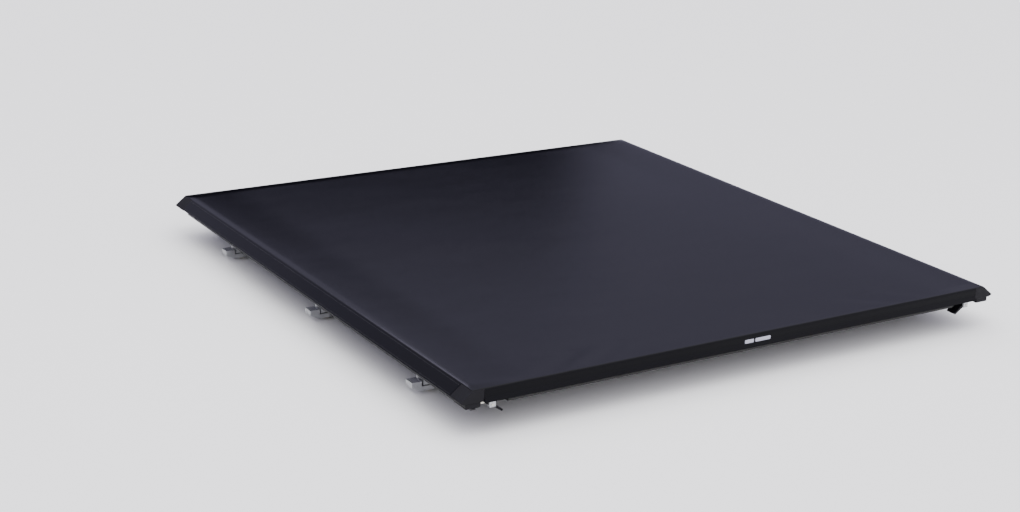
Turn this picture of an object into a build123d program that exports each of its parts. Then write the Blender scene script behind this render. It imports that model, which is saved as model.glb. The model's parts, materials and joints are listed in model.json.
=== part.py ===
from build123d import *
import math
import os

# Soft roll-up tonneau cover for a pickup bed: a vinyl sheet on clamp-on side rails.
#
# Row frame, millimetres: +X is the passenger side, +Y points at the cab, +Z is up.
# The origin is the middle of the bed opening, on the plane of the truck's bed rails.
# The sheet rolls up over the top, from the tailgate to the cab, so it is made as
# twelve sections that hinge on each other and wind into a flat-sided coil.

# Overall cover
RIDGE_X = 800.0  # half width between the two ridges where the sheet bends down
TOP_Z = 44.0  # top of the sheet above the bed rails
FRONT_Y = 858.0  # cab edge of the sheet
REAR_Y = -858.0  # tailgate edge of the sheet's top
SHEET = 1.2  # vinyl thickness
HEM = 2.4  # side hem: vinyl with hook tape sewn under it
HEM_RUN = 41.0  # width of the hem down the slope
SLOPE_DEG = 38.0  # slope of the hem and of the rail under it
PLAY = 0.3  # clearance between pieces that move apart
DROP_FOOT_Z = 26.0  # foot of the sheet's turn-down over the header
DROP_INSET = 6.0  # the front turn-down stops this short of each ridge
REAR_DROP_INSET = 30.0  # and the rear one this short

# Roll-up: sides of the coil from the outside in, upright and level by turns
FIRST_HINGE_Y = 640.0
UPRIGHT_SIDE = 165.0
LEVEL_SIDE = 180.0
COIL_PITCH = 14.0
COIL_SIDES = 10

# Side rails
RAIL_HALF = 800.0
RAIL_WALL = 2.2
RAIL_TOP_Z = 42.3
HEAD_X = (766.0, 790.0, 818.0)  # head: inner wall, start of the level top, outer wall
HEAD_CHAMFER_Z = 26.0  # top of the head's inner wall
HEAD_OUTER_Z = 13.0  # top of its outer wall
HEAD_RUN = 38.0  # how far its slope runs down from the ridge
WEB_X = (795.0, 797.0)
CELL_CORNER = (790.6, 24.8)  # x and z where the inner cell follows the chamfer
CELL_OUTER_Z = (14.6, 15.4)
LOOP_GAP = HEM + PLAY  # depth below the sheet's outer face where the loop tape starts
LOOP = 1.4
LOOP_RUN = (3.0, 36.0)
FOOT_Z = 6.0
SEAL_X = (780.0, 816.0)
SEAL_ROUND = 1.5
LEG_X = (769.0, 772.0)
LEG_Z = -32.0
LIP_X = 758.0
LIP_Z = -29.0
CASTING_SCREWS = (772.0, 790.0)
CASTING_SCREW_Z = 14.0
STRIKER_SCREWS = (-790.0, -775.0)
STRIKER_SCREW_Z = -10.0
SCREW_BORE_R = 2.1
SCREW_HEAD = 2.8

# Cross members
BAR_TOP_Z = 42.5
BAR_BOTTOM_Z = 10.0
BAR_WALL = 2.2
HEADER_Y = (806.0, 856.5)
HEADER_HALF = 741.7
REAR_BAR_Y = (-856.3, -812.0)
REAR_BAR_HALF = 769.7
REAR_LIP_Y = -860.8  # the bar's rear face flares out to here at its foot
REAR_LIP_Z = 25.0
HEADER_WEB_Y = (829.0, 831.0)
HEADER_ROUND = 3.0
REAR_BAR_WEB_Y = (-835.0, -833.0)
# Seals under the bars: (y, z) outlines that narrow downwards
HEADER_SEAL = [(818, BAR_BOTTOM_Z), (852, BAR_BOTTOM_Z), (850, 3), (845, -3), (825, -3), (820, 3)]
TAILGATE_SEAL = [(-852, BAR_BOTTOM_Z), (-826, BAR_BOTTOM_Z), (-828, 2), (-833, -4), (-845, -4), (-850, 2)]
TAILGATE_SEAL_HALF = 700.0

# End castings, left and right, on the header and on the rear bar
CASTING_IN_X = 742.0
CASTING_TIP = (831.0, 15.5)
CASTING_FOOT = (822.0, 12.5)
CASTING_WALL = 3.0
CORE_FOOT_Z = 12.0
RIDGE_FILLET = 5.0
TIP_FILLET = 1.0
END_FILLET = 0.9
TAB_X = (760.0, 766.0)  # tab against the rail's inner wall
TAB_Y = (762.0, RAIL_HALF + 4)
TAB_Z = (8.0, 22.0)
CORNER_PLUG = ((728, 744), (HEADER_Y[0] + 2.6, 828.6), (12.6, 39.8))  # x, y and z ranges
CORNER_FOOT_X = (790.0, 822.0)
CORNER_FOOT_Z = (0.5, 12.6)
BAR_PLUG_X = 752.0
BAR_PLUG_Y = (-832.4, -814.8)
BAR_PLUG_Z = (12.8, 39.6)

# Support bows: which section carries each one, and where
BOWS = {"front": (2, 400.0), "middle": (5, -60.0), "rear": (8, -480.0)}
BOW_WIDTH = 32.0
BOW_Z = (32.2, 42.4)
BOW_HALF = 752.0
BOW_TIP_X = 788.0
BOW_WALL = 1.8
BOW_ROUND = 4.5
BOW_SEAT_X = 775.0  # where the end cap's foot starts to rise
BOW_EDGE_Z = 41.4
BOW_TENON = 22.0

# Clamps
CLAMP_Y = {"rear": -560.0, "middle": 0.0, "front": 560.0}
CLAMP_WIDTH = 36.0
BOLT_X = 748.0
BOLT_R = 3.9
BRACKET_BORE_R = 4.0
JAW_BORE_R = 4.3
JAW_TIP_X = 802.0
JAW_Z = -40.5  # top of the jaw, under the truck's rail flange
JAW_NARROWER = 2.0
JAW_TEETH = 4
TOOTH_PITCH = 6.0
TOOTH_DEPTH = 1.2
CLAMP_BACK_X = 738.0
CLAMP_ROUND = 5.0
BRACKET_FOOT_Z = -50.0
BRACKET_HEAD = 5.0  # the bracket's hook stands this far above the rail's lip
BOLT_HEAD_TOP_Z = -66.3
BOLT_SHANK = 48.0

# Latches in the rear bar's end castings
LATCH_X = 745.0
LATCH_Z = -2.0
LATCH_Y = (-846.0, -816.0)
PIN_R = 2.5
PIN_OVERHANG = 1.0
HOUSING_X = (728.0, 751.4)
HOUSING_Y = (-852.0, -810.5)
HOUSING_Z = 5.2  # underside of the plate
EAR_IN_X = 736.0
EAR = 5.0
SPRING_POCKET_Y = (-835.5, -826.5)
STRIKER_X = 752.2
STRIKER_ARM_Y = (-841.0, -768.0)
STRIKER_FOOT_Y = (-797.0, -768.0)
STRIKER_Z = (0.5, 4.5)
STRIKER_FOOT_Z = -22.0
STRIKER_FOOT = 3.0

# Tension adjusters in the header's corner castings
KNOB_X = 747.0
KNOB_Z = 20.0
KNOB_Y = 745.0
KNOB_R = 10.0
KNOB_LENGTH = 17.0
KNOB_GROOVES = 8
GROOVE_R = 2.2
TENSION_SCREW_R = 3.0
TENSION_SCREW = 42.0
TENSION_BORE_R = 3.1
BOSS_Y = 786.0
BOSS_R = 8.0

# Plugs in the tailgate end of the rails, with a pad under the bar
PLUG_CAP = 3.5
PLUG_TENON = ((798, 813), (-RAIL_HALF, -RAIL_HALF + 20), (8.5, 14))
PLUG_PAD = ((778, 818), (-856, -RAIL_HALF - 1), (0.5, 11.5))

# Storage straps, folded and buckled under the sheet behind the header
STRAP_X = 430.0
STRAP_WIDTH = 25.0
STRAP_Y = (690.0, 800.0)
STRAP_Z = (24.0, 34.0)
BUCKLE_Z = STRAP_Z[0] - 9.5
SOCKET_HALF = 17.0
SOCKET_Y = (742.0, 782.0)
SOCKET_MOUTH_Y = (741.0, 766.0)
TONGUE_HALF = 16.0
TONGUE_Y = (724.0, 741.5)
TONGUE_SLOT_Y = (728.0, 731.0)
PRONG_END_Y = 763.0
PRONG_SPREAD = 8.5


def face_between(points, start, lift):
    """A prism from a closed outline whose corners are placed by start and swept by lift."""
    wire = Wire.make_polygon([start(*p) for p in points], close=True)
    return Solid.extrude(Face(wire), Vector(*lift))


def along_y(points, y0, y1):
    """A prism whose (x, z) outline runs from y0 to y1."""
    return face_between(points, lambda x, z: (x, y0, z), (0, y1 - y0, 0))


def along_x(points, x0, x1):
    """A prism whose (y, z) outline runs from x0 to x1."""
    return face_between(points, lambda y, z: (x0, y, z), (x1 - x0, 0, 0))


def block(x, y, z):
    """A box from its ranges in x, y and z."""
    return along_y([(x[0], z[0]), (x[1], z[0]), (x[1], z[1]), (x[0], z[1])], *y)


def rod(start, direction, radius, length):
    return Solid.make_cylinder(radius, length, Plane(origin=start, z_dir=direction))


def coil(start, pitch, length, radius, wire_radius):
    """A helical spring of round wire along +Y."""
    helix = Helix(pitch, length, radius, center=start, direction=(0, 1, 0))
    wire = Plane(origin=helix @ 0, z_dir=helix % 0) * Circle(wire_radius)
    return sweep(wire, path=helix).solids()[0]


def rounded(solid, radius, axis):
    """The solid with its edges along one axis rounded."""
    return fillet(solid.edges().filter_by(axis), radius).solids()[0]


def mirrored(shape):
    return mirror(shape, Plane.YZ)


def pair(solids):
    """Right-hand solids together with their left-hand mirror images."""
    return solids + [mirrored(s) for s in solids]


def save(name, solids):
    whole = Compound(children=list(solids)) if len(solids) > 1 else solids[0]
    export_step(whole, f"parts/{name}.step")


def save_sides(name, solids):
    """One node for each side of the truck from right-hand solids."""
    save(f"{name}_right", solids)
    save(f"{name}_left", [mirrored(s) for s in solids])


def on_slope(run, depth):
    """The (x, z) of a point down the side slope, depth below the hem's outer face."""
    a = math.radians(SLOPE_DEG)
    x = RIDGE_X + run * math.cos(a) - depth * math.sin(a)
    return x, TOP_Z - run * math.sin(a) - depth * math.cos(a)


def slope_at(depth, z):
    """The (x, z) where the slope at that depth reaches height z."""
    a = math.radians(SLOPE_DEG)
    return on_slope((TOP_Z - z - depth * math.cos(a)) / math.sin(a), depth)


# ---------------------------------------------------------------- sheet
def hinge_lines():
    """The y of each hinge, from the cab to the tailgate."""
    lines = [FIRST_HINGE_Y]
    for i in range(COIL_SIDES):
        first = LEVEL_SIDE if i % 2 else UPRIGHT_SIDE
        lines.append(lines[-1] - (first - COIL_PITCH * (i // 2)))
    return lines


def panel(y0, y1):
    inner_x = on_slope(0, SHEET / math.cos(math.radians(SLOPE_DEG)))[0]
    low = TOP_Z - SHEET
    return along_y([(-RIDGE_X, TOP_Z), (RIDGE_X, TOP_Z), (inner_x, low), (-inner_x, low)], y0, y1)


def hems(y0, y1):
    outline = [on_slope(0, 0), on_slope(HEM_RUN, 0), on_slope(HEM_RUN, HEM), on_slope(0, HEM)]
    return pair([along_y(outline, y0, y1)])


def front_drop():
    """The sheet's short turn-down over the header's front edge."""
    half = RIDGE_X - DROP_INSET
    return block((-half, half), (FRONT_Y - SHEET, FRONT_Y), (DROP_FOOT_Z, TOP_Z - SHEET))


def rear_drop():
    """The sheet's turn-down over the rear bar, flaring out at the foot."""
    low = TOP_Z - SHEET
    back = REAR_BAR_Y[0] - PLAY
    half = RIDGE_X - REAR_DROP_INSET
    foot = REAR_LIP_Y - PLAY
    knee = REAR_LIP_Z
    upper = [(back, low), (back - SHEET, low), (back - SHEET, knee), (back, knee)]
    lower = [(back, knee), (back - SHEET, knee), (foot - SHEET, BAR_BOTTOM_Z), (foot, BAR_BOTTOM_Z)]
    return [along_x(outline, -half, half) for outline in (upper, lower)]


def make_sheet():
    lines = hinge_lines()
    first = lines[0] + PLAY
    save("cover_section_00", [panel(first, FRONT_Y), front_drop(), *hems(first, RAIL_HALF)])
    for k in range(1, COIL_SIDES + 1):
        y0 = lines[k] + PLAY
        y1 = lines[k - 1] - PLAY
        save(f"cover_section_{k:02d}", [panel(y0, y1), *hems(y0, y1)])
    save(f"cover_section_{COIL_SIDES + 1:02d}", [panel(REAR_Y, lines[-1] - PLAY), *rear_drop()])


# ---------------------------------------------------------------- side rails
def rail_head():
    """Closed outline of the rail's upper chamber."""
    depth = LOOP_GAP + LOOP
    inner, top, outer = HEAD_X
    return [
        (top, RAIL_TOP_Z),
        slope_at(depth, RAIL_TOP_Z),
        on_slope(HEAD_RUN, depth),
        (outer, HEAD_OUTER_Z),
        (outer, FOOT_Z),
        (inner, FOOT_Z),
        (inner, HEAD_CHAMFER_Z),
    ]


def rail_chamber():
    """Hollow inside the rail's head, in two cells beside a web."""
    depth = LOOP_GAP + LOOP + RAIL_WALL
    low = FOOT_Z + RAIL_WALL
    high = RAIL_TOP_Z - RAIL_WALL
    crown = high - 3
    x0 = HEAD_X[0] + RAIL_WALL
    x1 = HEAD_X[2] - RAIL_WALL
    corner_x, corner_z = CELL_CORNER
    inner = [(x0, low), (WEB_X[0], low), (WEB_X[0], high), (corner_x, high), (x0, corner_z)]
    side_z, shoulder_z = CELL_OUTER_Z
    outer = [
        (WEB_X[1], low),
        (x1, low),
        (x1, side_z),
        slope_at(depth, shoulder_z),
        slope_at(depth, crown),
        (WEB_X[1], crown),
    ]
    return [inner, outer]


def make_rails():
    y = (-RAIL_HALF, RAIL_HALF)
    head = along_y(rail_head(), *y)
    for cell in rail_chamber():
        head -= along_y(cell, *y)
    leg = [
        (LEG_X[1], FOOT_Z),
        (LEG_X[1], LEG_Z),
        (LIP_X, LEG_Z),
        (LIP_X, LIP_Z),
        (LEG_X[0], LIP_Z),
        (LEG_X[0], FOOT_Z),
    ]
    rail = (head + along_y(leg, *y)).solids()[0]
    for screw_y in CASTING_SCREWS:
        rail -= rod((TAB_X[0], screw_y, CASTING_SCREW_Z), (1, 0, 0), SCREW_BORE_R, 12)
    for screw_y in STRIKER_SCREWS:
        rail -= rod((TAB_X[0], screw_y, STRIKER_SCREW_Z), (1, 0, 0), SCREW_BORE_R, 20)
    save_sides("side_rail", [rail.solids()[0]])
    top = LOOP_GAP
    foot = LOOP_GAP + LOOP
    corners = ((LOOP_RUN[0], top), (LOOP_RUN[1], top), (LOOP_RUN[1], foot), (LOOP_RUN[0], foot))
    loop = [on_slope(run, depth) for run, depth in corners]
    save("loop_tapes", pair([along_y(loop, *y)]))
    seal = rounded(block(SEAL_X, y, (0, FOOT_Z)), SEAL_ROUND, Axis.Y)
    save("rail_seals", pair([seal]))


# ---------------------------------------------------------------- cross members
def make_header():
    y0, y1 = HEADER_Y
    w = BAR_WALL
    x = (-HEADER_HALF, HEADER_HALF)
    z = (BAR_BOTTOM_Z + w, BAR_TOP_Z - w)
    bar = rounded(block(x, HEADER_Y, (BAR_BOTTOM_Z, BAR_TOP_Z)), HEADER_ROUND, Axis.X)
    bar -= block(x, (y0 + w, HEADER_WEB_Y[0]), z)
    bar -= block(x, (HEADER_WEB_Y[1], y1 - w), z)
    save("header_bar", [bar.solids()[0]])
    save("bulkhead_seal", [along_x(HEADER_SEAL, *x)])


def casting_profile():
    """Outline of an end casting: level top, side slope flush with the hem, open foot."""
    return [
        (CASTING_IN_X, BAR_TOP_Z),
        slope_at(PLAY, BAR_TOP_Z),
        on_slope(HEM_RUN, PLAY),
        CASTING_TIP,
        CASTING_FOOT,
        (CASTING_IN_X, CASTING_FOOT[1]),
    ]


def casting_core():
    """Outline of the hollow under an end casting's skin."""
    w = CASTING_WALL
    return [
        (CASTING_IN_X + w, BAR_TOP_Z - w),
        slope_at(PLAY + w, BAR_TOP_Z - w),
        slope_at(PLAY + w, CORE_FOOT_Z),
        (CASTING_IN_X + w, CORE_FOOT_Z),
    ]


def button_screw(start, length):
    """A button-head screw whose head starts at start and whose shank runs along +X."""
    x, y, z = start
    head = rod(start, (1, 0, 0), 4.2, SCREW_HEAD)
    screw = head + rod((x + SCREW_HEAD, y, z), (1, 0, 0), 2.0, length - SCREW_HEAD)
    socket = extrude(Plane(origin=start, z_dir=(1, 0, 0)) * RegularPolygon(2.0, 6), 1.6)
    return (screw - socket).solids()[0]


def casting_tab():
    """The tab that laps the rail's inner wall, drilled for its two screws."""
    tab = block(TAB_X, TAB_Y, TAB_Z)
    for y in CASTING_SCREWS:
        tab -= rod((TAB_X[0] - 5, y, CASTING_SCREW_Z), (1, 0, 0), SCREW_BORE_R, 15)
    return tab


def softened(shell, end_y):
    """A casting's outside with its long edges and its end face's edges rounded."""
    long_edges = shell.edges().filter_by(Axis.Y)
    ridge = [e for e in long_edges if e.center().Z > 40 and e.center().X > HEAD_X[1]]
    shell = fillet(ridge, RIDGE_FILLET)
    tip = [e for e in shell.edges().filter_by(Axis.Y) if e.center().X > CASTING_TIP[0] - 2]
    shell = fillet(tip, TIP_FILLET)
    end = [f for f in shell.faces().filter_by(Axis.Y) if abs(f.center().Y - end_y) < 0.01][0]
    return fillet(end.edges(), END_FILLET).solids()[0]


def make_header_corners():
    y0 = RAIL_HALF + PLAY
    y1 = FRONT_Y - SHEET - PLAY
    shell = softened(along_y(casting_profile(), y0, y1), y1)
    shell -= along_y(casting_core(), y0 + CASTING_WALL, y1 - CASTING_WALL)
    boss = rod((KNOB_X, BOSS_Y, KNOB_Z), (0, 1, 0), BOSS_R, 20.0)
    corner = shell + casting_tab() + boss + block(*CORNER_PLUG)
    corner -= rod((KNOB_X, BOSS_Y - 6, KNOB_Z), (0, 1, 0), TENSION_BORE_R, 27.0)
    foot = block(CORNER_FOOT_X, (y0 + 4, y1 - 4), CORNER_FOOT_Z)
    save_sides("header_corner", [(corner + foot).solids()[0]])


def make_tension_adjusters():
    end_y = KNOB_Y + KNOB_LENGTH
    screw = rod((KNOB_X, end_y, KNOB_Z), (0, 1, 0), TENSION_SCREW_R, TENSION_SCREW)
    knob = rod((KNOB_X, KNOB_Y, KNOB_Z), (0, 1, 0), KNOB_R, KNOB_LENGTH)
    reach = KNOB_R + 1
    for i in range(KNOB_GROOVES):
        a = math.tau * i / KNOB_GROOVES
        start = (KNOB_X + reach * math.cos(a), KNOB_Y - 1, KNOB_Z + reach * math.sin(a))
        knob -= rod(start, (0, 1, 0), GROOVE_R, KNOB_LENGTH + 2)
    save_sides("tension_knob", [(knob + screw).solids()[0]])
    save("tension_springs", pair([coil((KNOB_X, end_y + 2, KNOB_Z), 4.2, 20.0, 5.0, 0.8)]))


# ---------------------------------------------------------------- rear bar and latches
def bar_profile():
    y0, y1 = REAR_BAR_Y
    face = [(y1, BAR_TOP_Z), (y0, BAR_TOP_Z), (y0, REAR_LIP_Z)]
    return face + [(REAR_LIP_Y, BAR_BOTTOM_Z), (y1, BAR_BOTTOM_Z)]


def make_rear_bar():
    y0, y1 = REAR_BAR_Y
    w = BAR_WALL
    x = (-REAR_BAR_HALF, REAR_BAR_HALF)
    z = (BAR_BOTTOM_Z + w, BAR_TOP_Z - w)
    bar = along_x(bar_profile(), *x)
    bar -= block(x, (y0 + w, REAR_BAR_WEB_Y[0]), z)
    bar -= block(x, (REAR_BAR_WEB_Y[1], y1 - w), z)
    save("rear_bar", [bar.solids()[0]])
    save("tailgate_seal", [along_x(TAILGATE_SEAL, -TAILGATE_SEAL_HALF, TAILGATE_SEAL_HALF)])


def make_rear_castings():
    y0 = REAR_BAR_Y[0] - 1.5
    y1 = REAR_BAR_Y[1] + 6
    w = CASTING_WALL
    inboard = REAR_BAR_HALF + PLAY
    outline = [(inboard, BAR_TOP_Z), *casting_profile()[1:-1], (inboard, CASTING_FOOT[1])]
    core = [(inboard + w, BAR_TOP_Z - w), *casting_core()[1:-1], (inboard + w, CORE_FOOT_Z)]
    shell = softened(along_y(outline, y0, y1), y0)
    shell -= along_y(core, y0 + w, y1 - w)
    plug = block((BAR_PLUG_X, inboard + 1), BAR_PLUG_Y, BAR_PLUG_Z)
    save_sides("rear_bar_casting", [(shell + plug).solids()[0]])


def make_latch_housings():
    """A plate under each end of the bar, with an ear at each end for the trigger's pin."""
    y0, y1 = HOUSING_Y
    housing = block(HOUSING_X, HOUSING_Y, (HOUSING_Z, BAR_BOTTOM_Z))
    for y in ((y0, y0 + EAR), (y1 - EAR, y1)):
        housing += block((EAR_IN_X, HOUSING_X[1]), y, (LATCH_Z - 6, HOUSING_Z))
    housing -= rod((LATCH_X, y0 - 3, LATCH_Z), (0, 1, 0), PIN_R, y1 - y0 + 6)
    save_sides("latch_housing", [housing.solids()[0]])
    start = (LATCH_X, y0 - PIN_OVERHANG, LATCH_Z)
    pin = rod(start, (0, 1, 0), PIN_R, y1 - y0 + 2 * PIN_OVERHANG)
    save("latch_pins", pair([pin]))


def make_latches():
    """A sprung paddle on each side: its nose hooks the catch, its handle hangs inboard."""
    x = LATCH_X
    z = LATCH_Z
    outline = [
        (x - 4, z + 4.5),
        (x + 3, z + 5.5),
        (x + 6.4, z + 2.5),
        (x + 6.4, z - 2.5),
        (x + 2, z - 6),
        (x - 6, z - 8),
        (x - 30, z - 24),
        (x - 33, z - 20),
        (x - 10, z - 2),
    ]
    trigger = along_y(outline, *LATCH_Y)
    trigger -= rod((x, LATCH_Y[0] - 4, z), (0, 1, 0), PIN_R + 0.05, 40)
    trigger -= block((x - 5.5, x + 4.7), SPRING_POCKET_Y, (z - 9, z + 9))
    save_sides("latch_trigger", [trigger.solids()[0]])
    save("latch_springs", pair([coil((x, SPRING_POCKET_Y[0] + 0.5, z), 1.4, 8.0, 3.6, 0.5)]))


def make_strikers():
    """The catch beside each latch nose, on a foot screwed to the rail's leg."""
    face_x = LEG_X[0]
    striker = block((face_x - STRIKER_FOOT, face_x), STRIKER_FOOT_Y, (STRIKER_FOOT_Z, STRIKER_Z[1]))
    striker += block((STRIKER_X, face_x), STRIKER_ARM_Y, STRIKER_Z)
    head_x = face_x - STRIKER_FOOT - SCREW_HEAD
    length = SCREW_HEAD + STRIKER_FOOT + (LEG_X[1] - face_x) + 0.2
    screws = []
    for y in STRIKER_SCREWS:
        striker -= rod((STRIKER_X, y, STRIKER_SCREW_Z), (1, 0, 0), SCREW_BORE_R, 20)
        screws.append(button_screw((head_x, y, STRIKER_SCREW_Z), length))
    save("latch_strikers", pair([striker.solids()[0]]))
    return screws


def make_end_plugs():
    """Push-in plugs at the tailgate end of the rails, with a pad that the bar lands on."""
    cap = along_y(rail_head(), -RAIL_HALF - PLUG_CAP, -RAIL_HALF)
    pad = rounded(block(*PLUG_PAD), 2.0, Axis.Z)
    save_sides("rail_end_plug", [(cap + block(*PLUG_TENON) + pad).solids()[0]])


# ---------------------------------------------------------------- bows
def make_bows():
    for name, (_, y) in BOWS.items():
        y0 = y - BOW_WIDTH / 2
        y1 = y + BOW_WIDTH / 2
        z0, z1 = BOW_Z
        w = BOW_WALL
        span = (-BOW_HALF, BOW_HALF)
        bow = rounded(block(span, (y0, y1), BOW_Z), BOW_ROUND, Axis.X)
        bow -= rounded(block(span, (y0 + w, y1 - w), (z0 + w, z1 - w)), BOW_ROUND - w, Axis.X)
        save(f"support_bow_{name}", [bow.solids()[0]])
        top = [(BOW_HALF, z1), (BOW_TIP_X, z1), (BOW_TIP_X, BOW_EDGE_Z)]
        tip = along_y(top + [(BOW_SEAT_X, z0), (BOW_HALF, z0)], y0, y1)
        w += PLAY
        tenon = block((BOW_HALF - BOW_TENON, BOW_HALF + 1), (y0 + 5, y1 - 5), (z0 + w, z1 - w))
        save(f"bow_end_caps_{name}", pair([(tip + tenon).solids()[0]]))


# ---------------------------------------------------------------- clamps
def clamp_bracket(y):
    outer_x = LEG_X[1] - PLAY
    hook_x = LEG_X[0] - PLAY
    outline = [
        (CLAMP_BACK_X, BRACKET_FOOT_Z),
        (outer_x, BRACKET_FOOT_Z),
        (outer_x, LEG_Z - PLAY),
        (LIP_X - PLAY, LEG_Z - PLAY),
        (LIP_X - PLAY, LIP_Z + PLAY),
        (hook_x, LIP_Z + PLAY),
        (hook_x, LIP_Z + BRACKET_HEAD),
        (CLAMP_BACK_X, LIP_Z + BRACKET_HEAD),
    ]
    half = CLAMP_WIDTH / 2
    solid = along_y(outline, y - half, y + half)
    corners = solid.edges().filter_by(Axis.Z).sort_by(Axis.X)[:2]
    solid = fillet(corners, CLAMP_ROUND)
    bore = rod((BOLT_X, y, BRACKET_FOOT_Z - 10), (0, 0, 1), BRACKET_BORE_R, 50)
    return (solid - bore).solids()[0]


def clamp_jaw(y):
    teeth = []
    for i in range(1, JAW_TEETH + 1):
        x = JAW_TIP_X - TOOTH_PITCH * i
        teeth += [(x + 2, JAW_Z), (x + 1, JAW_Z - TOOTH_DEPTH), (x, JAW_Z)]
    foot_z = -66.0
    step_z = -54.0
    heel = [(CLAMP_BACK_X, foot_z), (776, foot_z)]
    tip = [(JAW_TIP_X, step_z), (JAW_TIP_X, JAW_Z)]
    outline = [*heel, *tip, *teeth, (775, JAW_Z), (775, step_z), (CLAMP_BACK_X, step_z)]
    half = CLAMP_WIDTH / 2 - JAW_NARROWER
    solid = along_y(outline, y - half, y + half)
    corners = solid.edges().filter_by(Axis.Z).sort_by(Axis.X)[:2]
    solid = fillet(corners, CLAMP_ROUND)
    return (solid - rod((BOLT_X, y, foot_z - 4), (0, 0, 1), JAW_BORE_R, 20)).solids()[0]


def clamp_bolt(y):
    top = BOLT_HEAD_TOP_Z
    hexagon = RegularPolygon(6.5, 6, major_radius=False)
    head = extrude(Plane(origin=(BOLT_X, y, top - 6.5)) * hexagon, 5.0)
    flange = rod((BOLT_X, y, top - 1.5), (0, 0, 1), 8.8, 1.5)
    shank = rod((BOLT_X, y, top), (0, 0, 1), BOLT_R, BOLT_SHANK)
    return (head + flange + shank).solids()[0]


def make_clamps():
    brackets = [clamp_bracket(y) for y in CLAMP_Y.values()]
    save("clamp_brackets", pair(brackets))
    for name, y in CLAMP_Y.items():
        save_sides(f"clamp_jaw_{name}", [clamp_jaw(y)])
        save_sides(f"clamp_bolt_{name}", [clamp_bolt(y)])


# ---------------------------------------------------------------- straps
def around_strap(half, aside=0.0):
    """A range in x on the strap's middle, or to one side of it."""
    return (STRAP_X + aside - half, STRAP_X + aside + half)


def make_straps():
    low = BUCKLE_Z
    z0, z1 = STRAP_Z
    y1 = STRAP_Y[1]
    x = around_strap(STRAP_WIDTH / 2)
    webbing = rounded(block(x, STRAP_Y, STRAP_Z), 3.0, Axis.X)
    tail = block(x, (y1, HEADER_Y[0] - PLAY), (z1 - 2.5, z1 - 1.0))
    save("storage_straps", pair([(webbing + tail).solids()[0]]))
    shell = block(around_strap(SOCKET_HALF), SOCKET_Y, (low, z0 - PLAY))
    mouth = block(around_strap(12.0), SOCKET_MOUTH_Y, (low + 2, z0 - 2.3))
    save("buckle_sockets", pair([(rounded(shell, 2.5, Axis.Z) - mouth).solids()[0]]))
    tongue = block(around_strap(TONGUE_HALF), TONGUE_Y, (low, z0 - PLAY))
    tongue -= block(around_strap(12.8), TONGUE_SLOT_Y, (low - 1, z0))
    for side in (-PRONG_SPREAD, 0, PRONG_SPREAD):
        prong_y = (TONGUE_Y[1] - 0.5, PRONG_END_Y)
        tongue += block(around_strap(2.2, side), prong_y, (low + 2.4, z0 - 2.7))
    save_sides("buckle_tongue", [tongue.solids()[0]])


def make_screws(striker_screws):
    head_x = TAB_X[0] - SCREW_HEAD
    corner_screws = [button_screw((head_x, y, CASTING_SCREW_Z), 12.8) for y in CASTING_SCREWS]
    save("rail_screws", pair(corner_screws + striker_screws))


def main():
    os.makedirs("parts", exist_ok=True)
    make_sheet()
    make_rails()
    make_header()
    make_header_corners()
    make_tension_adjusters()
    make_rear_bar()
    make_rear_castings()
    make_latches()
    make_latch_housings()
    striker_screws = make_strikers()
    make_end_plugs()
    make_bows()
    make_clamps()
    make_straps()
    make_screws(striker_screws)


main()
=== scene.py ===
import json
import math

import bmesh
import bpy
from mathutils import Matrix, Vector

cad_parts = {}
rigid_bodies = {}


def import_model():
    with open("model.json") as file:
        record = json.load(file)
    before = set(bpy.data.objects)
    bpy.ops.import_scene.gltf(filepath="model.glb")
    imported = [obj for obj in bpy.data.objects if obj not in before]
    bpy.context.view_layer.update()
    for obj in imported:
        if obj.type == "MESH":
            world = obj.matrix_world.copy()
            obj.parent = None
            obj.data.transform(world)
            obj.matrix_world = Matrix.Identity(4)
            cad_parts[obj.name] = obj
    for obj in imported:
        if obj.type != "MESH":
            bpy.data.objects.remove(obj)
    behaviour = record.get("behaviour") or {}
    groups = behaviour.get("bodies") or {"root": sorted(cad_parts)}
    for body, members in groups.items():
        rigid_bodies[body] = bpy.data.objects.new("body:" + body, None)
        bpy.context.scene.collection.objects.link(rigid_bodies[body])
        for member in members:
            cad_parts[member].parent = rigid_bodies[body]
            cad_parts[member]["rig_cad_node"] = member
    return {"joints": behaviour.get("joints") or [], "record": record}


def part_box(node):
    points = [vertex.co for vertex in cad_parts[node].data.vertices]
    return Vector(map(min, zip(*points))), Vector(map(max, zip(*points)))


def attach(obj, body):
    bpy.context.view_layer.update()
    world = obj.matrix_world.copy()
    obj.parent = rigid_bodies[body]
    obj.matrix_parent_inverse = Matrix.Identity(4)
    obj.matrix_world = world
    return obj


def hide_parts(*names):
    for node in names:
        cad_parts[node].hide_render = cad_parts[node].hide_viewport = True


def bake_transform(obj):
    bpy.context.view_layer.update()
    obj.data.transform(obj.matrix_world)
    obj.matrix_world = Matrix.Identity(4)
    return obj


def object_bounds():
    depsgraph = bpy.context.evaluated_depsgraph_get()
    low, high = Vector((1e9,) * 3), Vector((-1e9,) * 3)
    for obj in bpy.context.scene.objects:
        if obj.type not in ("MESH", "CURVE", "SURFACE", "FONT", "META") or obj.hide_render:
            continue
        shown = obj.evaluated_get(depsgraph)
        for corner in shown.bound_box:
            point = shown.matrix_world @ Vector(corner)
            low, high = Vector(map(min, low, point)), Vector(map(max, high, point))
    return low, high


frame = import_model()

# Looks of a soft roll-up tonneau cover. Metres, in the CAD model's frame:
# +X is the passenger side, +Y points at the cab, and z = 0 is the bed rails' top.

CAD_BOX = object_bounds()
CAD_NODES = [o for o in bpy.data.objects if "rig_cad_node" in o]

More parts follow.
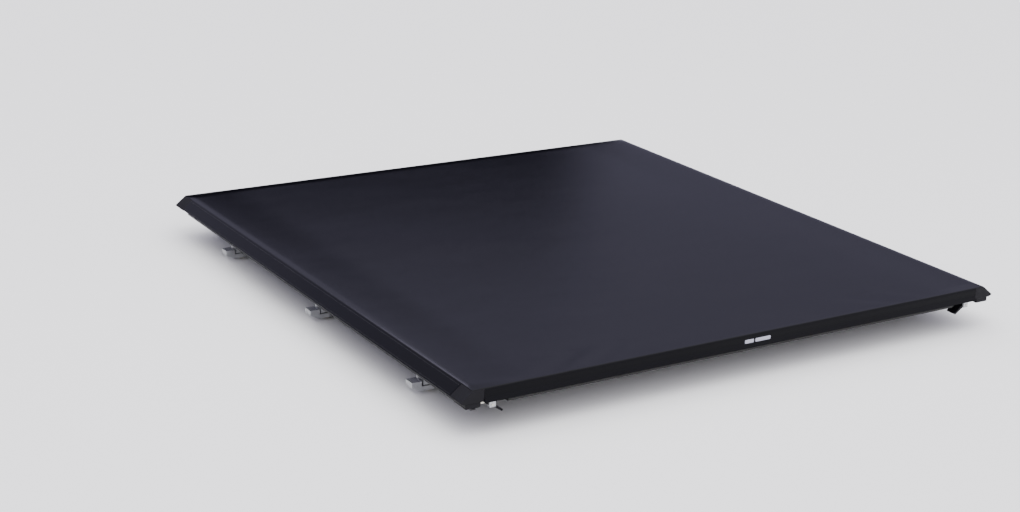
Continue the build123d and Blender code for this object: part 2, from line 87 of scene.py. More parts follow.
# Sheet, read from the frame
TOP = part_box("cover_section_05")[1][2]
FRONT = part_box("cover_section_00")[1][1]
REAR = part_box("cover_section_11")[0][1]
HEM_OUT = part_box("cover_section_05")[1][0]
RIDGE = 0.800  # half the distance between the folds where the hems begin
SLOPE = math.radians(38)  # of the hems
VINYL = 0.0012  # thickness
HOOK_TAPE = 0.0009  # thickness
SIDE_END_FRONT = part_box("side_rail_right")[1][1]
BAR_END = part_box("rear_bar")[1][0]


def linear(r, g, b):
    """A colour given in display values from 0 to 255, as the shader wants it."""
    def channel(v):
        v /= 255
        return v / 12.92 if v <= 0.04045 else ((v + 0.055) / 1.055) ** 2.4
    return (channel(r), channel(g), channel(b), 1.0)


# ---------------------------------------------------------------- materials
class Nodes:
    """Short calls for building one material's node tree."""

    def __init__(self, name, place="Object"):
        self.material = bpy.data.materials.new(name)
        self.material.use_nodes = True
        self.tree = self.material.node_tree
        self.shader = self.tree.nodes["Principled BSDF"]
        self.place = self.tree.nodes.new("ShaderNodeTexCoord").outputs[place]

    def node(self, kind, **settings):
        made = self.tree.nodes.new(kind)
        for key, value in settings.items():
            setattr(made, key, value)
        return made

    def link(self, a, b):
        self.tree.links.new(a, b)

    def stretched(self, scale, turn=(0, 0, 0)):
        mapping = self.node("ShaderNodeMapping")
        mapping.inputs["Scale"].default_value = scale
        mapping.inputs["Rotation"].default_value = turn
        self.link(self.place, mapping.inputs["Vector"])
        return mapping.outputs["Vector"]

    def noise(self, scale, detail=3.0, rough=0.5, vector=None, distortion=0.0):
        made = self.node("ShaderNodeTexNoise")
        made.inputs["Scale"].default_value = scale
        made.inputs["Detail"].default_value = detail
        made.inputs["Roughness"].default_value = rough
        made.inputs["Distortion"].default_value = distortion
        self.link(vector or self.place, made.inputs["Vector"])
        return made.outputs["Fac"]

    def cells(self, scale, feature="F1", vector=None):
        made = self.node("ShaderNodeTexVoronoi", feature=feature)
        made.inputs["Scale"].default_value = scale
        self.link(vector or self.place, made.inputs["Vector"])
        return made.outputs["Distance"]

    def ramp(self, value, stops):
        """stops is a list of (position, grey or colour)."""
        made = self.node("ShaderNodeValToRGB")
        line = made.color_ramp
        while len(line.elements) < len(stops):
            line.elements.new(0.5)
        for element, (at, tone) in zip(line.elements, stops):
            element.position = at
            element.color = tone if hasattr(tone, "__len__") else (tone, tone, tone, 1)
        self.link(value, made.inputs["Fac"])
        return made.outputs["Color"]

    def math(self, operation, *values):
        made = self.node("ShaderNodeMath", operation=operation)
        for slot, value in enumerate(values):
            if isinstance(value, (int, float)):
                made.inputs[slot].default_value = value
            else:
                self.link(value, made.inputs[slot])
        return made.outputs[0]

    def mix(self, factor, a, b):
        made = self.node("ShaderNodeMix", data_type="RGBA")
        for key, kind, value in (("Factor", "VALUE", factor), ("A", "RGBA", a), ("B", "RGBA", b)):
            socket = next(s for s in made.inputs if s.name == key and s.type == kind)
            if isinstance(value, (int, float, tuple)):
                socket.default_value = value
            else:
                self.link(value, socket)
        return next(s for s in made.outputs if s.type == "RGBA")

    def bump(self, height, strength, distance, below=None):
        made = self.node("ShaderNodeBump")
        made.inputs["Strength"].default_value = strength
        made.inputs["Distance"].default_value = distance
        self.link(height, made.inputs["Height"])
        if below is not None:
            self.link(below, made.inputs["Normal"])
        return made.outputs["Normal"]

    def finish(self, colour, roughness, normal=None, **fixed):
        """Connects the shader. fixed sets its other sockets to constants."""
        for key, value in (("Base Color", colour), ("Roughness", roughness), ("Normal", normal)):
            if value is None:
                continue
            if isinstance(value, (int, float, tuple)):
                self.shader.inputs[key].default_value = value
            else:
                self.link(value, self.shader.inputs[key])
        for key, value in fixed.items():
            self.shader.inputs[key.replace("_", " ")].default_value = value
        return self.material


def vinyl():
    """Satin black vinyl: a fine leather grain, faint clouding and soft waves from being rolled."""
    n = Nodes("vinyl_sheet", "UV")
    cloud = n.noise(2.2, 4, 0.6, distortion=0.4)
    tone = n.ramp(cloud, [(0.3, linear(4, 4, 7)), (0.5, linear(5, 5, 8)), (0.72, linear(7, 6, 10))])
    furrow = n.ramp(n.cells(900, "DISTANCE_TO_EDGE"), [(0.0, 0.0), (0.16, 1.0)])
    tone = n.mix(0.12, tone, n.mix(furrow, linear(2, 2, 3), linear(10, 9, 14)))
    streak = n.noise(1.0, 4, 0.6, n.stretched((2.5, 14, 1)))
    rough = n.ramp(streak, [(0.35, 0.09), (0.65, 0.12)])
    wave = n.bump(n.noise(3.5, 3, 0.5, n.stretched((1, 2.2, 1))), 0.10, 0.004)
    pebble = n.bump(n.noise(420, 3, 0.6), 0.08, 0.0002, wave)
    grain = n.bump(furrow, 0.18, 0.00008, pebble)
    return n.finish(tone, rough, grain, Specular_IOR_Level=0.07)


def moulded(name, dark, light, grain=700.0, rough=(0.42, 0.58), gloss=0.5):
    """Moulded plastic with a spark-eroded texture, mottled by handling."""
    n = Nodes(name)
    tone = n.ramp(n.noise(9, 4, 0.6), [(0.3, dark), (0.7, light)])
    scuff = n.noise(60, 5, 0.7, n.stretched((1, 6, 1)))
    roughness = n.ramp(scuff, [(0.35, rough[0]), (0.65, rough[1])])
    texture = n.bump(n.noise(grain, 2, 0.6), 0.18, 0.0003)
    return n.finish(tone, roughness, texture, Specular_IOR_Level=gloss)


def powder_coat():
    """Aluminium under black powder coat, with its orange peel."""
    n = Nodes("rail_aluminium")
    tone = n.ramp(n.noise(6, 4, 0.6), [(0.3, linear(17, 17, 22)), (0.7, linear(23, 23, 28))])
    peel = n.bump(n.noise(260, 2, 0.4), 0.15, 0.0005)
    speck = n.bump(n.cells(800), 0.08, 0.0002, peel)
    rough = n.ramp(n.noise(40, 4, 0.6), [(0.3, 0.36), (0.7, 0.47)])
    return n.finish(tone, rough, speck, Specular_IOR_Level=0.5, Coat_Weight=0.08, Coat_Roughness=0.3)


def metal(name, tone_a, tone_b, along, rough=(0.28, 0.42), grain=(4, 900)):
    """Bare metal with drawing or brushing lines along one axis."""
    n = Nodes(name)
    scale = [grain[1]] * 3
    scale["XYZ".index(along)] = grain[0]
    lines = n.noise(1.0, 3, 0.6, n.stretched(scale))
    blotch = n.noise(14, 4, 0.6)
    tone = n.ramp(blotch, [(0.3, tone_a), (0.7, tone_b)])
    roughness = n.ramp(lines, [(0.3, rough[0]), (0.7, rough[1])])
    bump = n.bump(lines, 0.12, 0.0002)
    return n.finish(tone, roughness, bump, Metallic=1.0)


def cast_metal():
    """Bare cast aluminium, pitted and dull."""
    n = Nodes("clamp_aluminium")
    tone = n.ramp(n.noise(30, 5, 0.65), [(0.3, linear(158, 160, 163)), (0.7, linear(188, 189, 190))])
    pits = n.bump(n.cells(520), 0.25, 0.0004)
    skin = n.bump(n.noise(160, 4, 0.6), 0.2, 0.0006, pits)
    rough = n.ramp(n.noise(80, 4, 0.6), [(0.3, 0.38), (0.7, 0.56)])
    return n.finish(tone, rough, skin, Metallic=1.0)


def foam_rubber():
    """Closed-cell sponge rubber with a matt skin."""
    n = Nodes("seal_rubber")
    tone = n.ramp(n.noise(25, 4, 0.6), [(0.3, linear(22, 22, 23)), (0.7, linear(33, 33, 34))])
    skin = n.bump(n.cells(1100), 0.3, 0.0003)
    return n.finish(tone, 0.82, n.bump(n.noise(70, 3, 0.6), 0.2, 0.001, skin), Specular_IOR_Level=0.3)


def pile():
    """Hook and loop tape: fibres in woven rows."""
    n = Nodes("hook_and_loop")
    fibre = n.noise(1500, 3, 0.7)
    tone = n.ramp(fibre, [(0.35, linear(18, 18, 20)), (0.7, linear(42, 42, 45))])
    rows = n.noise(1.0, 2, 0.5, n.stretched((900, 500, 900)))
    normal = n.bump(fibre, 0.7, 0.0008, n.bump(rows, 0.4, 0.0006))
    return n.finish(tone, 0.95, normal, Specular_IOR_Level=0.2, Sheen_Weight=0.3, Sheen_Roughness=0.6)


def webbing():
    """Polyester webbing: diagonal ribs that turn back in stripes along the strap."""
    stripe = 0.0031
    rib_pitch = 0.0021
    n = Nodes("strap_webbing")
    split = n.node("ShaderNodeSeparateXYZ")
    n.link(n.place, split.inputs[0])
    across = n.math("PINGPONG", split.outputs["X"], stripe)
    along = n.math("ADD", split.outputs["Y"], split.outputs["Z"])
    rib = n.math("SINE", n.math("MULTIPLY", n.math("ADD", along, across), math.tau / rib_pitch))
    height = n.math("MULTIPLY_ADD", rib, 0.5, 0.5)
    tone = n.ramp(height, [(0.0, linear(20, 20, 23)), (1.0, linear(44, 44, 48))])
    fibre = n.bump(n.noise(2400, 2, 0.6), 0.35, 0.0002)
    return n.finish(tone, 0.78, n.bump(rib, 0.5, 0.0005, fibre), Specular_IOR_Level=0.3, Sheen_Weight=0.2)


def backing():
    """The sheet's underside: a matt knitted scrim showing through a thin coat."""
    n = Nodes("vinyl_backing", "UV")
    knit = n.node("ShaderNodeTexWave", wave_type="BANDS", bands_direction="Y")
    knit.inputs["Scale"].default_value = 260
    knit.inputs["Distortion"].default_value = 1.5
    knit.inputs["Detail Scale"].default_value = 3
    n.link(n.place, knit.inputs["Vector"])
    tone = n.ramp(n.noise(3, 4, 0.6), [(0.3, linear(24, 24, 26)), (0.7, linear(31, 31, 33))])
    return n.finish(tone, 0.82, n.bump(knit.outputs["Fac"], 0.25, 0.0002), Specular_IOR_Level=0.25)


def thread():
    """Bonded polyester thread, twisted."""
    n = Nodes("stitch_thread")
    twist = n.node("ShaderNodeTexWave", wave_type="BANDS", bands_direction="DIAGONAL")
    twist.inputs["Scale"].default_value = 900
    n.link(n.place, twist.inputs["Vector"])
    tone = n.ramp(n.noise(300, 3, 0.6), [(0.3, linear(30, 30, 34)), (0.7, linear(46, 46, 51))])
    return n.finish(tone, 0.55, n.bump(twist.outputs["Fac"], 0.4, 0.0002), Specular_IOR_Level=0.4)


MATERIALS = {
    "vinyl_sheet": vinyl(),
    "vinyl_backing": backing(),
    "rail_aluminium": powder_coat(),
    "bow_aluminium": metal("bow_aluminium", linear(176, 178, 181), linear(197, 198, 200), "X"),
    "moulded_plastic": moulded("moulded_plastic", linear(10, 9, 13), linear(15, 14, 19), gloss=0.12),
    "knob_plastic": moulded("knob_plastic", linear(30, 30, 32), linear(44, 44, 46), 500, (0.35, 0.5)),
    "buckle_plastic": moulded(
        "buckle_plastic", linear(22, 22, 24), linear(31, 31, 33), 900, (0.18, 0.3), 0.55
    ),
    "seal_rubber": foam_rubber(),
    "hook_and_loop": pile(),
    "strap_webbing": webbing(),
    "clamp_aluminium": cast_metal(),
    "stitch_thread": thread(),
    "label_print": moulded("label_print", linear(146, 146, 159), linear(158, 158, 171), 900),
    "plated_steel": metal(
        "plated_steel", linear(176, 172, 160), linear(198, 196, 186), "Z", (0.24, 0.4), (200, 700)
    ),
}


def dress_cad():
    """Every carried-over node takes the material of its slot."""
    slots = {s["node"]: s["material_slot"] for s in frame["record"]["subparts"]}
    for piece in CAD_NODES:
        piece.data.materials.clear()
        piece.data.materials.append(MATERIALS[slots[piece["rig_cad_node"]]])


# ---------------------------------------------------------------- sheet
HINGES = [j["pos_m"][1] for j in frame["joints"] if j["name"].startswith("roll_hinge")]
HINGES.append(next(j["pos_m"][1] for j in frame["joints"] if j["name"] == "rear_bar_fold"))
HEM_RUN = (HEM_OUT - RIDGE) / math.cos(SLOPE)
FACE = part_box("rear_bar_casting_right")[0][1]

# Where the sheet starts and stops bending, along Y from the hinge. At the roll hinges the bend
# lies on the side that swings up, so that it stays out of the rails.
ROLL_BEND = (0.003, -0.017)
FOLD_BEND = (0.014, -0.014)
BEND_MARGIN = 0.001  # the close rows reach this far past the bend

# Across the sheet: it rises on a shoulder beside each rail, leans over on a crest and turns at the ridge
SHOULDER = 0.16
CREST = 0.020
CREST_LEAN = math.radians(11)
RIDGE_ROUND = 0.004
RIDGE_END = 0.001  # where the ridge's round ends, down the hem
HEM_FACES = RIDGE + 0.001  # faces beyond this x belong to the hem
SETTLE = 0.035  # the shoulder dies away over this length at the sheet's ends

# Turn-downs at the ends
FRONT_ROUND = 0.004
FRONT_HANG = 0.013
FRONT_END = RIDGE - 0.006  # half its width
REAR_ROUND = 0.0045
REAR_KNEE = 0.019  # how far down the foot starts to flare


def smooth(t):
    """0 to 1 with a soft start and end."""
    t = min(max(t, 0), 1)
    return t * t * (3 - 2 * t)


def spaced(a, b, steps):
    """Evenly spaced values from a to b, both included."""
    return [a + (b - a) * i / steps for i in range(steps + 1)]


def down_slope(run, depth=0.0):
    """The (x, z) of a point down the side slope, depth below the hem's outer face."""
    x = RIDGE + run * math.cos(SLOPE) - depth * math.sin(SLOPE)
    return x, TOP - run * math.sin(SLOPE) - depth * math.cos(SLOPE)


def half_profile():
    """Outer face of the sheet from the middle to the hem's foot: (distance across the cloth, x, z)."""
    end_x, end_z = down_slope(RIDGE_END)
    arc_x = end_x - RIDGE_ROUND * (math.sin(SLOPE) - math.sin(CREST_LEAN))
    arc_z = end_z + RIDGE_ROUND * (math.cos(CREST_LEAN) - math.cos(SLOPE))
    crest_x = arc_x - CREST
    fall = CREST * math.tan(CREST_LEAN) / 2
    crest_z = arc_z + fall
    line = [(x, TOP) for x in spaced(0, crest_x - SHOULDER, 30)]
    at_bar = 1 - (crest_x - BAR_END) / SHOULDER  # a point where the rear turn-down ends
    rise = sorted([*spaced(0, 1, 10)[1:], at_bar])
    line += [(crest_x - SHOULDER * (1 - t), TOP + (crest_z - TOP) * smooth(t)) for t in rise]
    line += [(crest_x + CREST * t, crest_z - fall * t * t) for t in spaced(0, 1, 8)[1:]]
    for a in spaced(CREST_LEAN, SLOPE, 4)[1:]:
        x = arc_x + RIDGE_ROUND * (math.sin(a) - math.sin(CREST_LEAN))
        line.append((x, arc_z - RIDGE_ROUND * (math.cos(CREST_LEAN) - math.cos(a))))
    line += [down_slope(run) for run in spaced(RIDGE_END, HEM_RUN, 7)[1:]]
    points = []
    across = 0.0
    for i, (x, z) in enumerate(line):
        across += math.dist(line[i - 1], (x, z)) if i else 0.0
        points.append((across, x, z))
    return points


def cover_profile():
    """The same from the driver's side hem to the passenger's."""
    half = half_profile()
    return [(-u, -x, z) for u, x, z in reversed(half[1:])] + half


def bend_of(hinge):
    """The y where the sheet starts to bend at this hinge, and the y where it stops."""
    before, after = FOLD_BEND if hinge == HINGES[-1] else ROLL_BEND
    return hinge + before, hinge + after


def rows_between(y0, y1, hinge, fixed=()):
    """Rows from the cab side to the tailgate side, close together at the hinge."""
    start, end = bend_of(hinge)
    near = spaced(start + BEND_MARGIN, end - BEND_MARGIN, 16)
    rows = spaced(y0, near[0], 6)[:-1] + near + spaced(near[-1], y1, 6)[1:]
    return sorted({*rows, *fixed}, reverse=True)


def front_edge():
    """Rows of the sheet's turn-down at the cab: (distance past the edge, y, drop)."""
    r = FRONT_ROUND
    quarter = spaced(math.pi / 2, 0, 4)[:-1]
    rows = [(r * a, FRONT - r * (1 - math.sin(a)), r * (1 - math.cos(a))) for a in quarter]
    return [(r * math.pi / 2 + FRONT_HANG, FRONT, r + FRONT_HANG)] + rows


def tailgate_edge():
    """Rows of the turn-down at the tailgate: (distance past the edge, y, drop)."""
    r = REAR_ROUND
    out = [(r * a, FACE + r - r * math.sin(a), r * (1 - math.cos(a))) for a in spaced(0, math.pi / 2, 5)[1:]]
    past = r * math.pi / 2
    out += [(past + drop - r, FACE, drop) for drop in spaced(r, REAR_KNEE, 3)[1:]]
    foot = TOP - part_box("cover_section_11")[0][2]
    for t in spaced(0, 1, 5)[1:]:
        drop = REAR_KNEE + (foot - REAR_KNEE) * t
        out.append((past + drop - r, FACE + (REAR - FACE) * smooth(t), drop))
    return out


# Faint pulls in the vinyl where it is stretched over the rear bar
PULLS_Y = -0.80
PULLS_REACH = 0.07
PULLS_END = 0.70  # beyond this x there are none
PULLS = [  # x, lean, width, height
    (-0.66, 0.9, 0.016, 0.0007),
    (-0.60, 1.2, 0.012, -0.0006),
    (-0.55, 1.4, 0.014, 0.0008),
    (-0.48, 1.5, 0.018, -0.0005),
    (-0.43, 1.2, 0.013, 0.0005),
    (0.52, -1.3, 0.016, 0.0005),
    (0.60, -1.1, 0.013, -0.0005),
]


def bell(offset, width):
    """1 at no offset, falling away to 0."""
    return math.exp(-((offset / width) ** 2))


def pucker(x, y):
    """How far the pulls lift the sheet at this point."""
    if abs(x) >= PULLS_END:
        return 0.0
    height = sum(tall * bell(x - at - lean * (y - REAR), wide) for at, lean, wide, tall in PULLS)
    return bell(y - PULLS_Y, PULLS_REACH) * height


def settled(y):
    """How much of the shoulder is left at this y."""
    return smooth((min(FRONT - y, y - FACE)) / SETTLE)


def stretch_of(k):
    """The ends of the stretch of sheet over hinge k: from the middle of one section to the next."""
    y0 = FRONT - FRONT_ROUND if k == 0 else (HINGES[k - 1] + HINGES[k]) / 2
    y1 = FACE + REAR_ROUND if k == len(HINGES) - 1 else (HINGES[k] + HINGES[k + 1]) / 2
    return y0, y1


def hem_of(k):
    """The ends of the hem on the same stretch."""
    y0, y1 = stretch_of(k)
    return min(y0, SIDE_END_FRONT), max(y1, HINGES[-1])


def bends(piece):
    """Bakes the piece's transform into its mesh; no bending is set up here."""
    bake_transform(piece)


def cover_piece(k):
    """One stretch of the sheet with its hems, hook tape and stitching."""
    first = k == 0
    last = k == len(HINGES) - 1
    y0, y1 = stretch_of(k)
    hem_front, hem_back = hem_of(k)
    rows = [(y, y, 0.0) for y in rows_between(y0, y1, HINGES[k], [hem_front, hem_back])]
    if first:
        rows = [(y0 + past, y, drop) for past, y, drop in front_edge()] + rows
    if last:
        rows += [(y1 - past, y, drop) for past, y, drop in tailgate_edge()]
    profile = cover_profile()
    mesh = bmesh.new()
    uv = mesh.loops.layers.uv.new("cloth")
    grid = []
    for v, y, drop in rows:
        line = []
        for u, x, z in profile:
            z -= max(z - TOP, 0) * (1 - settled(y))
            if last:
                z += pucker(x, y)
            line.append((mesh.verts.new((x, y, z - drop)), (u, v)))
        grid.append(line)
    for upper, lower, (_, y_a, drop_a), (_, y_b, drop_b) in zip(grid, grid[1:], rows, rows[1:]):
        drop = max(drop_a, drop_b)
        for i in range(len(profile) - 1):
            x = abs(profile[i][1] + profile[i + 1][1]) / 2
            past_hem = x > HEM_FACES and not hem_back < (y_a + y_b) / 2 < hem_front
            past_bar = last and x > BAR_END and drop > FRONT_ROUND
            past_header = x > FRONT_END and drop > FRONT_ROUND
            if past_hem or past_bar or past_header:
                continue
            corners = (upper[i], lower[i], lower[i + 1], upper[i + 1])
            face = mesh.faces.new([c[0] for c in corners])
            for loop, corner in zip(face.loops, corners):
                loop[uv].uv = corner[1]
            face.smooth = True
    bmesh.ops.delete(mesh, geom=[v for v in mesh.verts if not v.link_faces], context="VERTS")
    piece = made(f"vinyl_top_{k + 1:02d}", mesh, "vinyl_sheet")
    thicken(piece, VINYL)
    bends(piece)
    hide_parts(f"cover_section_{k:02d}", f"cover_section_{k + 1:02d}")
    trim = [hook_strips(k), hem_stitching(k)]


# Distances down the hem
TAPE_RUNS = (0.004, 0.015, 0.026, 0.037)
STITCH_ROWS = (0.0065, 0.0365)
STITCH_PITCH = 0.0042
STITCH_LONG = 0.0032
THREAD = 0.00032  # radius


def hook_strips(k):
    """The hook tape sewn under each hem, on the same stretch as the sheet."""
    y0, y1 = hem_of(k)
    upper = [down_slope(run, VINYL) for run in TAPE_RUNS]
    lower = [down_slope(run, VINYL + HOOK_TAPE) for run in reversed(TAPE_RUNS)]
    mesh = bmesh.new()
    for side in (-1, 1):
        loops = []
        for y in rows_between(y0, y1, HINGES[k]):
            loops.append([mesh.verts.new((side * x, y, z)) for x, z in upper + lower])
        join_loops(mesh, loops)
    piece = made(f"hook_tape_{k + 1:02d}", mesh, "hook_and_loop")
    bends(piece)
    return piece


def join_loops(mesh, loops):
    """Walls between closed loops of vertices, with a cap on each end."""
    count = len(loops[0])
    for a, b in zip(loops, loops[1:]):
        for i in range(count):
            j = (i + 1) % count
            mesh.faces.new((a[i], a[j], b[j], b[i])).smooth = True
    for end in (loops[0], loops[-1]):
        mesh.faces.new(end)


def hem_stitching(k):
    """Two rows of stitches down each hem, holding the hook tape."""
    y0, y1 = hem_of(k)
    mesh = bmesh.new()
    count = int((y0 - y1) / STITCH_PITCH)
    for side in (-1, 1):
        for run in STITCH_ROWS:
            x, z = down_slope(run)
            for i in range(count):
                one_stitch(mesh, Vector((side * x, y0 - (i + 0.5) * STITCH_PITCH, z)), side)
    piece = made(f"hem_stitching_{k + 1:02d}", mesh, "stitch_thread")
    bends(piece)
    return piece


def one_stitch(mesh, middle, side):
    """A thread that rises out of the vinyl and dives back in."""
    across = Vector((side * math.cos(SLOPE), 0, -math.sin(SLOPE)))
    out = Vector((side * math.sin(SLOPE), 0, math.cos(SLOPE)))
    loops = []
    for t in (-1, -0.55, 0, 0.55, 1):
        lift = THREAD * (0.45 - 1.3 * t * t)
        thick = THREAD * (1 - 0.3 * t * t)
        at = middle + Vector((0, -t * STITCH_LONG / 2, 0)) + out * lift
        ring = [at + thick * (across * math.cos(a) + out * math.sin(a)) for a in spaced(0, math.tau, 6)[:-1]]
        loops.append([mesh.verts.new(p) for p in ring])
    join_loops(mesh, loops)


def made(name, mesh, material):
    """The finished bmesh as an object."""
    data = bpy.data.meshes.new(name)
    bmesh.ops.recalc_face_normals(mesh, faces=mesh.faces)
    mesh.to_mesh(data)
    mesh.free()
    piece = bpy.data.objects.new(name, data)
    bpy.context.scene.collection.objects.link(piece)
    data.materials.append(MATERIALS[material])
    return piece


def apply_modifiers(piece):
    graph = bpy.context.evaluated_depsgraph_get()
    data = bpy.data.meshes.new_from_object(piece.evaluated_get(graph))
    piece.modifiers.clear()
    piece.data = data


def thicken(piece, depth):
    """Gives the sheet its thickness on the side away from its normals, and a backing there."""
    solid = piece.modifiers.new("thick", "SOLIDIFY")
    solid.thickness = depth
    solid.offset = -1
    solid.use_even_offset = True
    piece.data.materials.append(MATERIALS["vinyl_backing"])
    solid.material_offset = 1
    apply_modifiers(piece)
    piece.data.set_sharp_from_angle(angle=math.radians(50))


# ---------------------------------------------------------------- label
LABEL_PLATES = ((-0.020, 0.008), (0.013, 0.061))  # each from x to x
LABEL_Z = (0.0215, 0.0312)
LABEL_CORNER = 0.0025
LABEL_RIM = ((-0.0002, 0.0), (0.0004, 0.0), (0.0007, 0.0003), (0.0008, 0.0009))  # height, inset


def rounded_outline(x0, x1, z0, z1, radius):
    """A rectangle with round corners, in (x, z)."""
    points = []
    right, left = x1 - radius, x0 + radius
    top, foot = z1 - radius, z0 + radius
    for turn, (x, z) in enumerate(((right, top), (left, top), (left, foot), (right, foot))):
        for a in spaced(0, math.pi / 2, 4):
            angle = a + turn * math.pi / 2
            points.append((x + radius * math.cos(angle), z + radius * math.sin(angle)))
    return points


def blank_label():
    """Two small blank plates on the rear face, with softened rims."""
    z0, z1 = LABEL_Z
    mesh = bmesh.new()
    for x0, x1 in LABEL_PLATES:
        loops = []
        for proud, inset in LABEL_RIM:
            outline = rounded_outline(x0 + inset, x1 - inset, z0 + inset, z1 - inset, LABEL_CORNER - inset)
            loops.append([mesh.verts.new((x, FACE - proud, z)) for x, z in outline])
        join_loops(mesh, loops)
    piece = made("blank_label", mesh, "label_print")
    piece.data.set_sharp_from_angle(angle=math.radians(60))
    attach(piece, "rear_bar_group")


# ---------------------------------------------------------------- storage straps
STRAP_X = 0.430
STRAP_HALF = 0.0124  # half the width
STRAP_RING = ((1, 0.5), (0.94, 1), (-0.94, 1), (-1, 0.5), (-1, -0.5), (-0.94, -1), (0.94, -1), (1, -0.5))

# Folded bundle behind the header, from the fold at the back to the one at the front
BUNDLE_THICK = 0.0014
BUNDLE_Z = 0.0297
BUNDLE_BACK = 0.6945
BUNDLE_FRONT = 0.7945
OUTER_FOLD = 0.0035
INNER_FOLD = 0.0019
INNER_BACK = BUNDLE_BACK + 0.002
STRAP_END = BUNDLE_FRONT - 0.006

# The strap's end at the tongue
END_THICK = 0.0012
END_GAP = 0.0001  # between the webbing and the tongue
END_START = 0.700
END_TURN = 0.0009
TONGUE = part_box("buckle_tongue_right")
TONGUE_BAR = 0.004  # the bar that the webbing goes round, along Y


def curl(y, z, radius_a, radius_b, turn_a, turn_b, steps=8):
    """Points round an arc whose radius may change on the way, as (y, z)."""
    points = []
    for t in spaced(0, 1, steps):
        radius = radius_a + (radius_b - radius_a) * t
        turn = math.radians(turn_a + (turn_b - turn_a) * t)
        points.append((y + radius * math.cos(turn), z + radius * math.sin(turn)))
    return points


def ribbon(mesh, path, middle, thick):
    """A strap laid along a path in (y, z), with softened edges."""
    half = thick / 2
    loops = []
    for i, (y, z) in enumerate(path):
        ahead = Vector(path[min(i + 1, len(path) - 1)])
        behind = Vector(path[max(i - 1, 0)])
        along = (ahead - behind).normalized()
        ring = []
        for a, b in STRAP_RING:
            at = (middle + a * STRAP_HALF, y - along.y * b * half, z + along.x * b * half)
            ring.append(mesh.verts.new(at))
        loops.append(ring)
    join_loops(mesh, loops)


def strap_bundles():
    """Each strap, folded twice on itself under the sheet behind the header."""
    z = BUNDLE_Z
    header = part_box("storage_straps")[1][1]
    path = [(header, 0.03225), (header - 0.004, 0.0324), (header - 0.008, z + OUTER_FOLD - 0.0002)]
    path += [(y, z + OUTER_FOLD) for y in spaced(BUNDLE_FRONT, BUNDLE_BACK, 12)[:-1]]
    path += curl(BUNDLE_BACK, z, OUTER_FOLD, OUTER_FOLD, 90, 270)
    path += [(y, z - OUTER_FOLD) for y in spaced(BUNDLE_BACK, BUNDLE_FRONT, 12)[1:-1]]
    path += curl(BUNDLE_FRONT, z, OUTER_FOLD, INNER_FOLD, -90, 90)
    path += [(y, z + INNER_FOLD) for y in spaced(BUNDLE_FRONT, INNER_BACK, 12)[1:-1]]
    path += curl(INNER_BACK, z, INNER_FOLD, INNER_FOLD, 90, 270)
    path += [(y, z - INNER_FOLD) for y in spaced(INNER_BACK, STRAP_END, 12)[1:]]
    mesh = bmesh.new()
    for side in (-1, 1):
        ribbon(mesh, path, side * STRAP_X, BUNDLE_THICK)
    piece = made("strap_bundles", mesh, "strap_webbing")
    piece.data.set_sharp_from_angle(angle=math.radians(50))
    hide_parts("storage_straps")
    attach(piece, "fixed_frame")


def tongue_webbing(side, name):
    """The strap's end, threaded through the tongue's slot and sewn back under itself."""
    gap = END_GAP + END_THICK / 2
    rear = TONGUE[0][1] - gap
    slot = TONGUE[0][1] + TONGUE_BAR + gap
    top = TONGUE[1][2] + gap
    foot = TONGUE[0][2] - gap
    r = END_TURN
    path = [(y, top) for y in spaced(END_START, slot - r, 6)[:-1]]
    path += curl(slot - r, top - r, r, r, 90, 0, 4)
    path += curl(slot - r, foot + r, r, r, 0, -90, 4)
    path += curl(rear + r, foot + r, r, r, -90, -180, 4)
    path += [(rear, foot + (top - foot) * t) for t in (0.4, 0.7)]
    path += [(rear, top - END_THICK)]
    mesh = bmesh.new()
    ribbon(mesh, path, side * STRAP_X, END_THICK)
    piece = made(f"tongue_webbing_{name}", mesh, "strap_webbing")
    piece.data.set_sharp_from_angle(angle=math.radians(50))
    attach(piece, f"buckle_tongue_{name}")


# ---------------------------------------------------------------- studio
# The sky's colours, and the azimuth where its dark side begins
DARK_SIDE = (0.012, 0.012, 0.018, 1)
HORIZON = (0.42, 0.40, 0.57, 1)
BAND = (0.92, 0.88, 1.20, 1)
TAILGATE_SIDE = (2.4, 2.35, 2.55, 1)
OVERHEAD = (3.1, 3.1, 3.15, 1)
DARK_EDGE = math.radians(34.6)


def studio():
    """A pale floor, the sky and two soft lights."""
    floor_z = CAD_BOX[0][2] - 0.002
    bpy.ops.mesh.primitive_plane_add(size=60, location=(0, 0, floor_z))
    floor = bpy.context.object
    floor.name = "studio_floor"
    n = Nodes("studio_floor")
    floor.data.materials.append(n.finish((0.85, 0.85, 0.84, 1), 0.8, Specular_IOR_Level=0.2))
    sky()
    softbox("key", (-1.5, -2.0, 5.0), 3.0, 90)
    softbox("ridge", (1.9, 7.5, 5.7), 1.5, 26, (0.80, 0.76, 1.0))


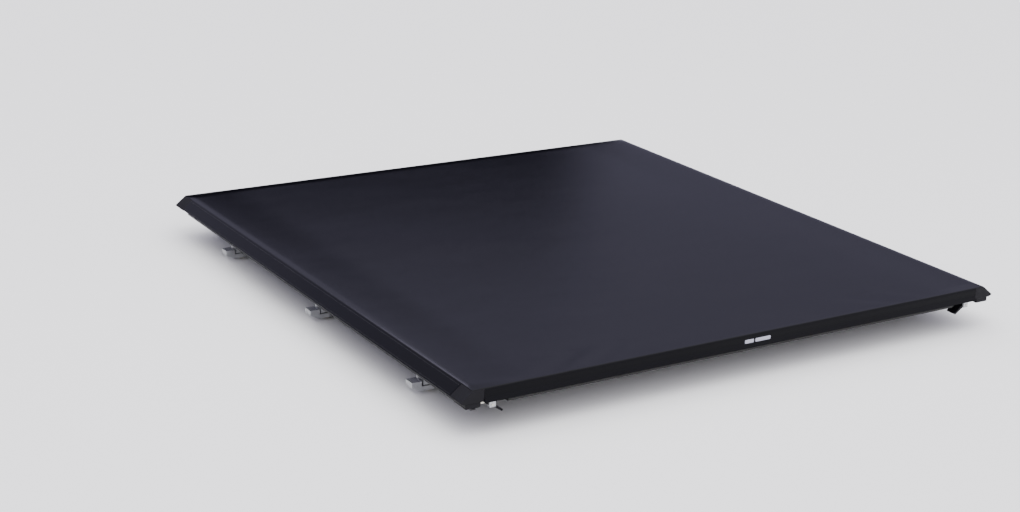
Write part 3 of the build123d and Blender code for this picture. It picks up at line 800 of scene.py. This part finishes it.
def sky():
    """Soft light from above, dimmer near the horizon, with a dark side low down beyond the cab."""
    world = bpy.data.worlds.new("studio")
    bpy.context.scene.world = world
    world.use_nodes = True
    tree = world.node_tree
    direction = tree.nodes.new("ShaderNodeTexCoord").outputs["Generated"]
    axes = tree.nodes.new("ShaderNodeSeparateXYZ")
    tree.links.new(direction, axes.inputs[0])

    def blur(value, low, high):
        step = tree.nodes.new("ShaderNodeMapRange")
        step.interpolation_type = "SMOOTHSTEP"
        step.inputs["From Min"].default_value = low
        step.inputs["From Max"].default_value = high
        tree.links.new(value, step.inputs["Value"])
        return step.outputs["Result"]

    def combine(operation, a, b):
        step = tree.nodes.new("ShaderNodeMath")
        step.operation = operation
        for socket, value in zip(step.inputs, (a, b)):
            if isinstance(value, float):
                socket.default_value = value
            else:
                tree.links.new(value, socket)
        return step.outputs[0]

    def mix(factor, a, b):
        step = tree.nodes.new("ShaderNodeMix")
        step.data_type = "RGBA"
        tree.links.new(factor, step.inputs[0])
        for socket, value in zip((s for s in step.inputs if s.type == "RGBA"), (a, b)):
            if isinstance(value, tuple):
                socket.default_value = value
            else:
                tree.links.new(value, socket)
        return next(s for s in step.outputs if s.type == "RGBA")

    x, y, z = (axes.outputs[axis] for axis in "XYZ")
    beside = combine("SUBTRACT", combine("MULTIPLY", x, math.cos(DARK_EDGE)),
                     combine("MULTIPLY", y, math.sin(DARK_EDGE)))
    clear = combine("MAXIMUM", blur(beside, -0.02, 0.015), blur(z, 0.275, 0.315))
    low = mix(clear, DARK_SIDE, HORIZON)
    low = mix(blur(z, 0.31, 0.39), low, BAND)
    low = mix(blur(combine("MULTIPLY", y, -1.0), 0.15, 0.6), low, TAILGATE_SIDE)
    whole = mix(blur(z, 0.48, 0.90), low, OVERHEAD)
    tree.links.new(whole, tree.nodes["Background"].inputs["Color"])
    tree.nodes["Background"].inputs["Strength"].default_value = 1.0


def softbox(name, at, size, power, colour=(1.0, 1.0, 1.0)):
    """A square soft light that points at the origin."""
    data = bpy.data.lights.new(name, "AREA")
    data.size = size
    data.energy = power
    data.color = colour
    lamp = bpy.data.objects.new(name, data)
    lamp.location = at
    lamp.rotation_euler = (-Vector(at)).to_track_quat("-Z", "Y").to_euler()
    bpy.context.scene.collection.objects.link(lamp)


# The camera's place and the direction from what it looks at back to it
EYE = (-2.747, -4.091, 1.6185)
EYE_AZIMUTH = math.radians(-32.15)
EYE_ELEVATION = math.radians(18.34)
EYE_ROLL = math.radians(1.95)
LENS = 63.85
SENSOR = 36


def camera():
    """Seen from behind the tailgate on the driver's side, a little above."""
    level = math.cos(EYE_ELEVATION)
    back = Vector((math.sin(EYE_AZIMUTH) * level, -math.cos(EYE_AZIMUTH) * level, math.sin(EYE_ELEVATION)))
    data = bpy.data.cameras.new("camera")
    data.lens = LENS
    data.sensor_width = SENSOR
    data.clip_end = 100
    eye = bpy.data.objects.new("camera", data)
    eye.location = EYE
    turn = (-back).to_track_quat("-Z", "Y").to_matrix() @ Matrix.Rotation(EYE_ROLL, 3, "Z")
    eye.rotation_euler = turn.to_euler()
    bpy.context.scene.collection.objects.link(eye)
    bpy.context.scene.camera = eye


dress_cad()
for k in range(len(HINGES)):
    cover_piece(k)
blank_label()
strap_bundles()
tongue_webbing(-1, "left")
tongue_webbing(1, "right")
studio()
camera()
